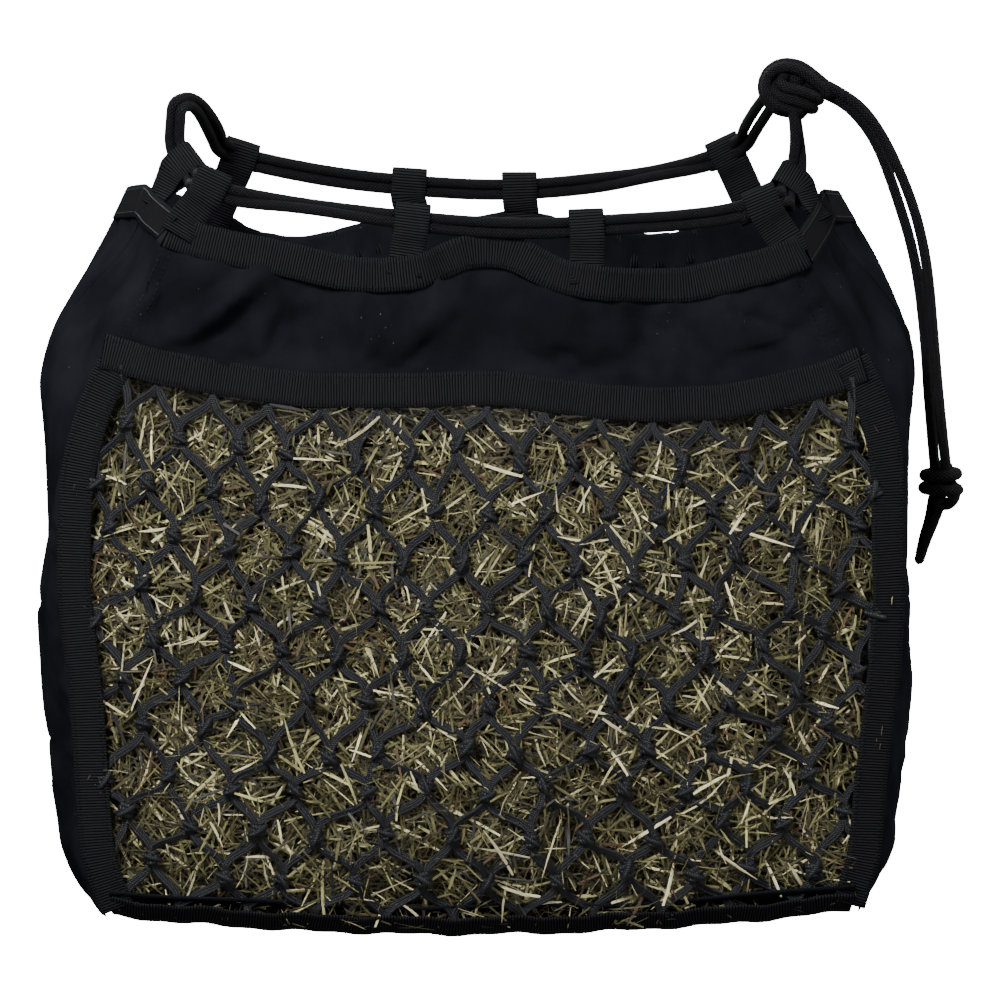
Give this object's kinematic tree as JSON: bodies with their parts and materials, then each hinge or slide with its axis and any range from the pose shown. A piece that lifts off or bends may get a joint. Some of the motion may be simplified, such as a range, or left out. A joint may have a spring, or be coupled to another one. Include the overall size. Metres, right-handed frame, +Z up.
{
  "type": "hay net",
  "caption": "Fabric hay bag with a knotted net front, webbing rim and loops, hung by a doubled draw rope with a knot, filled with hay",
  "frame": {"origin": "underside of the left rope bight, where the left hook carries the bag", "axes": "+X to the right along the mouth, +Y to the back, +Z up"},
  "size_m": [0.6844, 0.2596, 0.6347],
  "materials": {
    "bag_fabric": "black coated nylon weave, soft sheen",
    "webbing": "ribbed black polypropylene tape",
    "rope": "braided black polypropylene",
    "twine": "black multifilament twine",
    "hay": "dry chopped hay, olive and straw"
  },
  "bodies": {
    "bag": {"back_panel_lower": "bag_fabric", "left_side_panel": "bag_fabric", "right_side_panel": "bag_fabric", "bottom_panel": "bag_fabric", "net_mesh": "twine", "net_tape_top": "webbing", "net_tape_left": "webbing", "net_tape_right": "webbing", "net_tape_bottom": "webbing", "rim_tape_left": "webbing", "rim_tape_right": "webbing", "loop_side_left": "webbing", "loop_side_right": "webbing", "rope_left_lower": "rope", "rope_left_upper": "rope", "rope_right_front_lower": "rope", "rope_right_front_upper": "rope", "rope_right_back_lower": "rope", "rope_right_back_upper": "rope", "top_knot": "rope", "hay_fill": "hay"},
    "front_rim": {"front_band": "bag_fabric", "rim_tape_front": "webbing", "loop_front_1": "webbing", "loop_front_2": "webbing", "loop_front_3": "webbing", "loop_front_4": "webbing", "rope_front_lower": "rope", "rope_front_upper": "rope"},
    "back_rim": {"back_panel_upper": "bag_fabric", "rim_tape_back": "webbing", "loop_back_1": "webbing", "loop_back_2": "webbing", "loop_back_3": "webbing", "loop_back_4": "webbing", "rope_back_lower": "rope", "rope_back_upper": "rope"},
    "tail": {"tail_strand_outer": "rope", "tail_strand_inner": "rope", "end_knot": "rope", "tail_end_outer": "rope", "tail_end_inner": "rope"}
  },
  "joints": [
    {"name": "mouth_front", "type": "hinge", "parent": "bag", "child": "front_rim", "pos_m": [0.213, -0.09, -0.18], "axis": [-1, 0, 0], "range_deg": [-20, 33]},
    {"name": "mouth_back", "type": "hinge", "parent": "bag", "child": "back_rim", "pos_m": [0.213, 0.09, -0.18], "axis": [1, 0, 0], "range_deg": [-20, 33]},
    {"name": "tail_swing", "type": "hinge", "parent": "bag", "child": "tail", "pos_m": [0.472, 0, 0.02], "axis": [1, 0, 0], "range_deg": [-60, 60]}
  ],
  "couplings": [
    {"joint": "mouth_back", "follows": "mouth_front", "ratio": 1}
  ]
}
